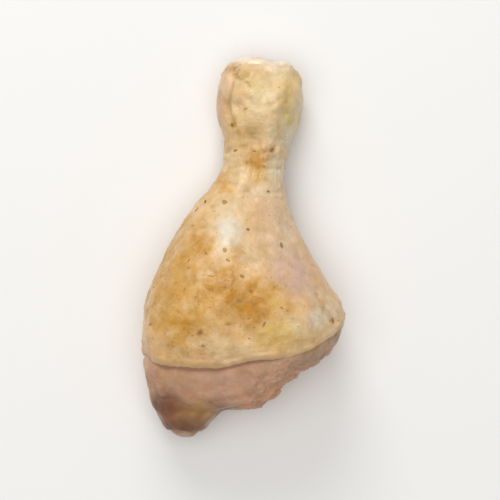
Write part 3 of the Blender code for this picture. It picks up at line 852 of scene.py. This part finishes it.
def spread(tree, source, low, high, toLow=0.0, toHigh=1.0):
    ends = {"From Min": low, "From Max": high, "To Min": toLow, "To Max": toHigh}
    made = addNode(tree, "ShaderNodeMapRange", {"Value": source, **ends}, interpolation_type="SMOOTHSTEP")
    return made.outputs["Result"]


def mathNode(tree, operation, a, b):
    return addNode(tree, "ShaderNodeMath", {0: a, 1: b}, operation=operation).outputs[0]


def times(tree, a, b):
    return mathNode(tree, "MULTIPLY", a, b)


def mixColour(tree, factor, first, second, mode="MIX"):
    inputs = {0: factor, 6: first, 7: second}  # the sockets that a colour mix uses
    return addNode(tree, "ShaderNodeMix", inputs, data_type="RGBA", blend_type=mode).outputs[2]


def maskNode(tree, name):
    return addNode(tree, "ShaderNodeAttribute", attribute_name=name).outputs["Fac"]


def objectPlace(tree):
    return addNode(tree, "ShaderNodeTexCoord").outputs["Object"]


def noiseNode(tree, place, scale, detail=3.0, distortion=0.0):
    inputs = {"Vector": place, "Scale": scale, "Detail": detail, "Distortion": distortion}
    return addNode(tree, "ShaderNodeTexNoise", inputs).outputs["Fac"]


def voronoiNode(tree, place, scale):
    return addNode(tree, "ShaderNodeTexVoronoi", {"Vector": place, "Scale": scale}).outputs["Distance"]


def buildMoistGroup():
    # mottling, fine height and wet patches that skin, meat, cartilage and herbs share
    tree = bpy.data.node_groups.new("moistSurface", "ShaderNodeTree")
    defaults = {"Grain Scale": 900.0, "Pore Scale": 420.0, "Wet Scale": 120.0, "Dryness": 0.38}
    for name, value in defaults.items():
        socket = tree.interface.new_socket(name, in_out="INPUT", socket_type="NodeSocketFloat")
        socket.default_value = value
    for name in ("Mottle", "Height", "Roughness"):
        tree.interface.new_socket(name, in_out="OUTPUT", socket_type="NodeSocketFloat")
    given = tree.nodes.new("NodeGroupInput").outputs
    place = objectPlace(tree)
    grain = noiseNode(tree, place, given["Grain Scale"], 4.0)
    pores = voronoiNode(tree, place, given["Pore Scale"])
    wet = noiseNode(tree, place, given["Wet Scale"])
    addNode(tree, "NodeGroupOutput", {
        "Mottle": noiseNode(tree, place, 260.0, 5.0, 0.4),
        "Height": mathNode(tree, "ADD", grain, times(tree, pores, 0.7)),
        "Roughness": mathNode(tree, "ADD", given["Dryness"], spread(tree, wet, 0.35, 0.65, -0.1, 0.12)),
    })
    return tree


moistGroup = buildMoistGroup()
finishSockets = (
    "Subsurface Weight", "Subsurface Scale", "Coat Weight", "Coat Roughness", "Specular IOR Level")


def moistMaterial(name, look):
    # a moist, slightly translucent material, whose colour paint() links in the end
    made = bpy.data.materials.new(name)
    made.use_nodes = True
    tree = made.node_tree
    shader = tree.nodes["Principled BSDF"]
    shader.inputs["Subsurface Radius"].default_value = (1.0, 0.42, 0.2)
    for socket, value in zip(finishSockets, look["finish"]):
        shader.inputs[socket].default_value = value
    group = addNode(tree, "ShaderNodeGroup", node_tree=moistGroup)
    for socket, value in zip(("Grain Scale", "Pore Scale", "Dryness"), look["grain"]):
        group.inputs[socket].default_value = value
    bump = {"Strength": 0.6, "Distance": look["bumpDepth"], "Height": group.outputs["Height"]}
    tree.links.new(addNode(tree, "ShaderNodeBump", bump).outputs["Normal"], shader.inputs["Normal"])
    tree.links.new(group.outputs["Roughness"], shader.inputs["Roughness"])

    def paint(colour):
        grey = spread(tree, group.outputs["Mottle"], 0.3, 0.7, *look["mottle"])
        grey = addNode(tree, "ShaderNodeCombineColor", {"Red": grey, "Green": grey, "Blue": grey})
        mottled = mixColour(tree, 1.0, colour, grey.outputs["Color"], "MULTIPLY")
        tree.links.new(mottled, shader.inputs["Base Color"])
        return made

    return tree, paint


skinLook = {
    "base": (0.71, 0.44, 0.19),
    "baseLight": (0.75, 0.515, 0.275),
    "cream": (0.79, 0.62, 0.355),
    # a pale skin colour, also used for a painted highlight
    "pale": (0.76, 0.69, 0.55),
    # a pink skin colour, also used for painted shade on the knuckle's left side
    "pink": (0.62, 0.395, 0.285),
    "yellow": (0.625, 0.38, 0.035),
    "olive": (0.59, 0.455, 0.13),
    "stain": (0.585, 0.31, 0.06),
    "stainDeep": (0.5, 0.215, 0.0),
    "stainDeepest": (0.37, 0.14, 0.0),
    "speck": (0.4, 0.2, 0.03),
    # darker ochre for the skin's hollows: seasoning gathered there and painted crease shade
    "gathered": (0.52, 0.29, 0.07),
    "raised": (0.82, 0.6, 0.36),
    "fleck": (0.26, 0.135, 0.03),
    "hem": (0.52, 0.31, 0.17),
    "finish": (0.2, 0.0025, 0.2, 0.28, 0.38),  # in the order of finishSockets
    "grain": (1500.0, 900.0, 0.43),  # scale of the grain and of the pores, and dryness
    "bumpDepth": 0.00025,
    "mottle": (0.88, 1.05),
}


def skinMaterial():
    look = skinLook
    tree, paint = moistMaterial("seasonedSkin", look)
    place = objectPlace(tree)
    broad = noiseNode(tree, place, 75.0, 4.0, 0.5)
    middle = noiseNode(tree, place, 230.0, 2.0)
    fine = noiseNode(tree, place, 620.0, 4.0, 0.3)
    stain, core = maskNode(tree, "stain"), maskNode(tree, "core")
    colour = mixColour(tree, spread(tree, broad, 0.38, 0.66), look["base"], look["baseLight"])
    for name in ("yellow", "pink", "cream", "pale"):
        colour = mixColour(tree, maskNode(tree, name), colour, look[name])

    wash = mathNode(tree, "ADD", stain, spread(tree, middle, 0.42, 0.7, 0.0, 0.22))
    wash = times(tree, wash, spread(tree, middle, 0.32, 0.66, 0.72, 1.12))
    wash = times(tree, wash, spread(tree, fine, 0.3, 0.65, 0.9, 1.06))
    dust = times(tree, core, spread(tree, fine, 0.34, 0.64, 0.8, 1.1))
    dots = spread(tree, voronoiNode(tree, place, 430.0), 0.34, 0.12)
    dots = times(tree, dots, spread(tree, middle, 0.45, 0.65))
    fleck = times(tree, maskNode(tree, "fleck"), spread(tree, fine, 0.3, 0.6, 0.5, 1.3))
    layers = (  # each lies over the ones before it
        (spread(tree, wash, 0.03, 0.72, 0.0, 0.96), "stain"),
        (spread(tree, dust, 0.02, 0.7), "stainDeep"),
        (times(tree, core, spread(tree, fine, 0.46, 0.68, 0.0, 0.7)), "stainDeepest"),
        (maskNode(tree, "olive"), "olive"),
        # hollows darken: partly gathered seasoning, partly painted crease shade
        (times(tree, maskNode(tree, "hollow"), 0.5), "gathered"),
        (times(tree, maskNode(tree, "pimple"), 0.32), "raised"),
        (times(tree, dots, spread(tree, stain, 0.05, 0.6, 0.12, 0.75)), "speck"),
        (spread(tree, fleck, 0.2, 1.0, 0.0, 0.85), "fleck"),
        (spread(tree, maskNode(tree, "hem"), 0.2, 0.95, 0.0, 0.4), "hem"),
    )
    for mask, name in layers:
        colour = mixColour(tree, mask, colour, look[name])
    return paint(colour)


meatLook = {
    "base": (0.66, 0.365, 0.21),
    "light": (0.71, 0.43, 0.265),
    "deep": (0.55, 0.25, 0.14),
    "bundle": (0.46, 0.17, 0.09),
    "sinew": (0.68, 0.46, 0.32),
    "collar": (0.38, 0.2, 0.12),
    # the knee lobe's brown, partly its own colour and partly painted shade, as the lobe lies low
    "lobe": (0.28, 0.128, 0.058),
    "shade": (0.29, 0.175, 0.105),
    # fat's tan-grey, darkened with painted shade
    "fatty": (0.31, 0.205, 0.12),
    # painted shadow
    "dark": (0.17, 0.07, 0.035),
    "mauve": (0.64, 0.385, 0.265),
    "red": (0.28, 0.095, 0.04),
    "tan": (0.53, 0.3, 0.09),
    # painted shadow under the skin's hem
    "underHem": (0.27, 0.12, 0.06),
    "finish": (0.3, 0.0025, 0.1, 0.34, 0.38),
    "grain": (1300.0, 700.0, 0.42),
    "bumpDepth": 0.0002,
    "mottle": (0.86, 1.05),
}


def meatMaterial():
    look = meatLook
    tree, paint = moistMaterial("rawMeat", look)
    broad = noiseNode(tree, objectPlace(tree), 110.0, 4.0, 0.6)
    colour = mixColour(tree, spread(tree, maskNode(tree, "fibre"), 0.3, 0.75), look["base"], look["light"])
    layers = [  # each lies over the ones before it
        (spread(tree, broad, 0.48, 0.7, 0.0, 0.6), "deep"),
        (times(tree, maskNode(tree, "bundleTint"), 0.6), "bundle"),
        (spread(tree, maskNode(tree, "strandTint"), 0.5, 1.0, 0.0, 0.3), "light"),
        (times(tree, maskNode(tree, "seam"), spread(tree, broad, 0.4, 0.62, 0.15, 0.6)), "sinew"),
    ]
    marks = ("lobe", "mauve", "shade", "fatty", "red", "tan", "sinew", "collar", "dark")
    layers += [(maskNode(tree, name), name) for name in marks]
    layers.append((spread(tree, maskNode(tree, "underHem"), 0.1, 0.9, 0.0, 0.75), "underHem"))
    for mask, name in layers:
        colour = mixColour(tree, mask, colour, look[name])
    return paint(colour)


boneLook = {
    "ankle": (0.8, 0.68, 0.49),
    "blush": (0.72, 0.5, 0.35),
    "knee": (0.44, 0.29, 0.19),
    "kneeBlush": (0.36, 0.15, 0.09),
    "finish": (0.3, 0.003, 0.3, 0.2),
    "grain": (700.0, 500.0, 0.34),
    "bumpDepth": 0.00012,
    "mottle": (0.88, 1.05),
}


def boneMaterial():
    look = boneLook
    tree, paint = moistMaterial("cartilage", look)
    blotch = spread(tree, noiseNode(tree, objectPlace(tree), 240.0, 4.0, 0.6), 0.45, 0.7)
    ankle = mixColour(tree, blotch, look["ankle"], look["blush"])
    knee = mixColour(tree, blotch, look["knee"], look["kneeBlush"])
    return paint(mixColour(tree, maskNode(tree, "kneeEnd"), ankle, knee))


def scrapMaterial(name, dark, light, dryness):
    # dried seasoning, each piece in a tone of its own between dark and light
    tree, paint = moistMaterial(name, {
        "finish": (0.05, 0.001, 0.0, 0.3, 0.2),
        "grain": (3000.0, 2000.0, dryness),
        "bumpDepth": 0.0001,
        "mottle": (0.75, 1.1),
    })
    return paint(mixColour(tree, maskNode(tree, "tone"), dark, light))


flakeRule = {  # the same draw as the flakes fused to the skin's solid
    "count": 40,
    "seed": 11,
    "stations": (-31.0, 52.0, -17.0),  # lowest, highest and most common
    "angles": (8.0, 172.0, 100.0),
    "length": (1.4, 2.6),
    "spacing": 3.4,
    "hemClearance": 2.5,
    "widths": (0.55, 0.72, 0.4, 0.8, 0.48),  # shares of the length, taken in turn
    "height": 0.8,  # share of the length that a scrap's curl is scaled by
    "lift": 0.02,
    "shapes": 7,
    "dark": (0.33, 0.165, 0.04),
    "light": (0.53, 0.32, 0.10),
    "dryness": 0.55,
}


def flakeSpots():
    draw = random.Random(flakeRule["seed"])
    spots = []
    while len(spots) < flakeRule["count"]:
        station = draw.triangular(*flakeRule["stations"])
        angle = draw.triangular(*flakeRule["angles"])
        turn = draw.uniform(0.0, 360.0)
        length = draw.uniform(*flakeRule["length"])
        at, around = np.array(station), np.array(angle)
        normal = outward(at, around)
        place = sectionPoint(at, around) + normal * legRelief(at, around)
        clearOfHem = station > float(hemStation(leg["kneeHem"], angle)) + flakeRule["hemClearance"]
        apart = all(np.linalg.norm(place - other[0]) > flakeRule["spacing"] for other in spots)
        if clearOfHem and apart:
            spots.append((place, normal, turn, length))
    return spots


def leafScrap(number):
    # a small curled scrap of dried leaf, one unit long
    draw = random.Random(70 + number)
    sides = 8
    rim = []
    for i in range(sides):
        a = 2 * math.pi * (i + 0.5 * draw.random()) / sides
        reach = 0.5 * (0.5 + 0.55 * draw.random())
        rim.append((reach * math.cos(a), reach * math.sin(a)))
    made = bmesh.new()
    layers = []
    for lift in (-0.5, 0.5):
        ring = [made.verts.new((x, y, lift * 0.1 + 0.3 * (x * x + 0.8 * x * y) - 0.1)) for x, y in rim]
        middle = made.verts.new((0.0, 0.0, lift * 0.16))
        layers.append((ring, middle))
    for (ring, middle), up in zip(layers, (False, True)):
        for i in range(sides):
            trio = (ring[i], ring[(i + 1) % sides], middle)
            made.faces.new(trio if up else trio[::-1])
    for i in range(sides):
        j = (i + 1) % sides
        made.faces.new((layers[0][0][i], layers[0][0][j], layers[1][0][j], layers[1][0][i]))
    mesh = bpy.data.meshes.new(f"leafScrap{number}")
    made.to_mesh(mesh)
    made.free()
    return mesh


def newScatter(name, inputs):
    # an empty Geometry Nodes group with its named inputs
    tree = bpy.data.node_groups.new(name, "GeometryNodeTree")
    for key, kind in {"Geometry": "Geometry", **inputs}.items():
        tree.interface.new_socket(key, in_out="INPUT", socket_type="NodeSocket" + kind)
    tree.interface.new_socket("Geometry", in_out="OUTPUT", socket_type="NodeSocketGeometry")
    return tree, tree.nodes.new("NodeGroupInput").outputs


def randomValue(tree, kind, low, high, seed):
    # for nodes with several outputs of one name, the name finds the one that the kind uses
    inputs = {"Min": low, "Max": high, "Seed": seed}
    return addNode(tree, "FunctionNodeRandomValue", inputs, data_type=kind).outputs["Value"]


def storedValue(tree, kind, name):
    node = addNode(tree, "GeometryNodeInputNamedAttribute", {"Name": name}, data_type=kind)
    return node.outputs["Attribute"]


def scaledVector(tree, vector, scale):
    inputs = {0: vector, "Scale": scale}
    return addNode(tree, "ShaderNodeVectorMath", inputs, operation="SCALE").outputs["Vector"]


def endScatter(tree, placing, toneSeed, material):
    # puts a piece on every point, gives it a tone, makes it real and sets its material
    geometry = addNode(tree, "GeometryNodeInstanceOnPoints", placing).outputs["Instances"]
    tone = {"Name": "tone", "Value": randomValue(tree, "FLOAT", 0.0, 1.0, toneSeed)}
    steps = (
        ("StoreNamedAttribute", tone, {"domain": "INSTANCE", "data_type": "FLOAT"}),
        ("RealizeInstances", {}, {}),
        ("SetMaterial", {"Material": material}, {}),
    )
    for kind, inputs, settings in steps:
        made = addNode(tree, "GeometryNode" + kind, {"Geometry": geometry, **inputs}, **settings)
        geometry = made.outputs["Geometry"]
    addNode(tree, "NodeGroupOutput", {"Geometry": geometry})
    return tree


def runScatter(obj, tree, settings):
    # the group's result becomes the object's own mesh
    modifier = obj.modifiers.new(tree.name, "NODES")
    modifier.node_group = tree
    given = [item for item in tree.interface.items_tree if item.in_out == "INPUT"]
    for name, value in settings.items():
        modifier[next(item.identifier for item in given if item.name == name)] = value
    bake(obj)


def placedTree(material):
    # puts a scrap on every point, turned and sized by the point's own values
    tree, given = newScatter("placedScraps", {"Scraps": "Collection", "Size": "Float"})
    scraps = {"Collection": given["Scraps"], "Separate Children": True, "Reset Children": True}
    placing = {
        "Points": given["Geometry"],
        "Instance": addNode(tree, "GeometryNodeCollectionInfo", scraps).outputs["Instances"],
        "Pick Instance": True,
        "Rotation": storedValue(tree, "FLOAT_VECTOR", "scrapTurn"),
        "Scale": scaledVector(tree, storedValue(tree, "FLOAT_VECTOR", "scrapSize"), given["Size"]),
    }
    return endScatter(tree, placing, 5, material)


def buildFlakes():
    rule = flakeRule
    spots = flakeSpots()
    flakes = meshObject("herbFlakes", [place + normal * rule["lift"] for place, normal, *_ in spots], [])
    turns, sizes = [], []
    for number, (place, normal, turn, length) in enumerate(spots):
        lie = Vector(normal).to_track_quat("Z", "Y").to_matrix()
        lie = lie @ Euler((0.0, 0.0, math.radians(turn))).to_matrix()
        turns.append(tuple(lie.to_euler()))
        wide = rule["widths"][number % len(rule["widths"])]
        sizes.append((length, length * wide, length * rule["height"]))
    for name, values in (("scrapTurn", turns), ("scrapSize", sizes)):
        layer = flakes.data.attributes.new(name, "FLOAT_VECTOR", "POINT")
        layer.data.foreach_set("vector", np.array(values, np.float32).ravel())
    scraps = bpy.data.collections.new("leafScraps")
    for number in range(rule["shapes"]):
        scraps.objects.link(bpy.data.objects.new(f"leafScrap{number}", leafScrap(number)))
    tree = placedTree(scrapMaterial("driedHerb", rule["dark"], rule["light"], rule["dryness"]))
    runScatter(flakes, tree, {"Scraps": scraps, "Size": mm})
    return report(flakes, "flakes")


grainKinds = {  # the skin's mask they follow, grains a square metre, sizes, seed and two tones
    "spiceGrains": ("spiceShare", 420000.0, (0.2, 0.5), 21, (0.40, 0.15, 0.015), (0.62, 0.31, 0.03)),
    "herbGrains": ("herbShare", 24000.0, (0.25, 0.6), 22, (0.28, 0.16, 0.04), (0.50, 0.34, 0.12)),
}


def grainTree(material):
    # grains strewn over the skin where its seasoning mask is strong
    inputs = {"Density": "Float", "Smallest": "Float", "Largest": "Float", "Seed": "Int", "Mask": "String"}
    tree, given = newScatter("strewnGrains", inputs)
    seed = given["Seed"]
    mask = storedValue(tree, "FLOAT", given["Mask"])
    strewing = {"Mesh": given["Geometry"], "Density": times(tree, mask, given["Density"]), "Seed": seed}
    strewn = addNode(tree, "GeometryNodeDistributePointsOnFaces", strewing)
    grain = addNode(tree, "GeometryNodeMeshIcoSphere", {"Radius": 0.5, "Subdivisions": 1})
    size = randomValue(tree, "FLOAT", given["Smallest"], given["Largest"], seed)
    squash = randomValue(tree, "FLOAT_VECTOR", (0.6, 0.5, 0.4), (1.3, 1.0, 0.8), seed)
    placing = {
        "Points": strewn.outputs["Points"],
        "Instance": grain.outputs["Mesh"],
        "Rotation": randomValue(tree, "FLOAT_VECTOR", (0.0, 0.0, 0.0), (6.28, 6.28, 6.28), seed),
        "Scale": scaledVector(tree, squash, size),
    }
    return endScatter(tree, placing, 9, material)


def strewGrains(name, skin):
    mask, density, (smallest, largest), seed, dark, light = grainKinds[name]
    grains = bpy.data.objects.new(name, skin.data)
    bpy.context.scene.collection.objects.link(grains)
    settings = {"Mask": mask, "Density": density, "Seed": seed}
    settings.update({"Smallest": smallest * mm, "Largest": largest * mm})
    runScatter(grains, grainTree(scrapMaterial(name + "Finish", dark, light, 0.5)), settings)
    return report(grains, name)


studio = {
    "floorSize": 3.0,
    "floorColour": (0.86, 0.85, 0.83),
    "floorRoughness": 0.7,
    "cameraHeight": 0.78,
    "lens": 185.0,
    "sensor": 36.0,
    "lean": 5.0,  # the leg leans this far clockwise in the picture
    "lights": {  # place, size, power
        "key": ((-0.22, 0.78, 0.52), 0.55, 4.5),
        "top": ((-0.1, -0.05, 1.1), 1.3, 7.6),
    },
    "world": 0.34,
}


def areaLight(name, place, size, power):
    data = bpy.data.lights.new(name, "AREA")
    data.shape = "DISK"
    data.size = size
    data.energy = power
    lamp = bpy.data.objects.new(name, data)
    lamp.location = place
    lamp.rotation_euler = Vector(place).to_track_quat("Z", "Y").to_euler()
    bpy.context.scene.collection.objects.link(lamp)


def buildFloor():
    half = studio["floorSize"] / 2
    corners = np.array([(-half, -half, 0), (half, -half, 0), (half, half, 0), (-half, half, 0)])
    floor = meshObject("floor", corners / mm, [(0, 1, 2, 3)])
    made = bpy.data.materials.new("paleFloor")
    made.use_nodes = True
    shader = made.node_tree.nodes["Principled BSDF"]
    shader.inputs["Base Color"].default_value = studio["floorColour"] + (1.0,)
    shader.inputs["Roughness"].default_value = studio["floorRoughness"]
    floor.data.materials.append(made)
    floor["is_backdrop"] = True


def buildCamera():
    low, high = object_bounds()
    centre = (Vector(low) + Vector(high)) / 2
    data = bpy.data.cameras.new("camera")
    data.lens = studio["lens"]
    data.sensor_width = studio["sensor"]
    camera = bpy.data.objects.new("camera", data)
    camera.location = (centre.x, centre.y, studio["cameraHeight"])
    camera.rotation_euler = (0.0, 0.0, math.radians(studio["lean"]))
    bpy.context.scene.collection.objects.link(camera)
    bpy.context.scene.camera = camera


def buildStudio():
    buildFloor()
    for name, light in studio["lights"].items():
        areaLight(name, *light)
    world = bpy.data.worlds.new("softSky")
    world.use_nodes = True
    sky = world.node_tree.nodes["Background"]
    sky.inputs["Color"].default_value = (1.0, 1.0, 1.0, 1.0)
    sky.inputs["Strength"].default_value = studio["world"]
    bpy.context.scene.world = world
    bpy.context.scene.view_settings.view_transform = "Standard"
    buildCamera()


def main():
    skin = buildSkin()
    meat = buildMeat()
    bone = buildBone()
    skin.data.materials.append(skinMaterial())
    meat.data.materials.clear()
    meat.data.materials.append(meatMaterial())
    bone.data.materials.append(boneMaterial())
    flakes = buildFlakes()
    grains = [strewGrains(name, skin) for name in grainKinds]
    mainPieces = (
        (skin, "skin", "seasoned_skin"),
        (meat, "meat", "raw_meat"),
        (bone, "bone", "cartilage"),
    )
    for piece, node, slot in mainPieces:
        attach(piece, "root")
        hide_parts(node)
    for scattered in [flakes] + grains:
        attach(scattered, "root")
    buildStudio()
    print("studio: floor, lights and camera")


main()
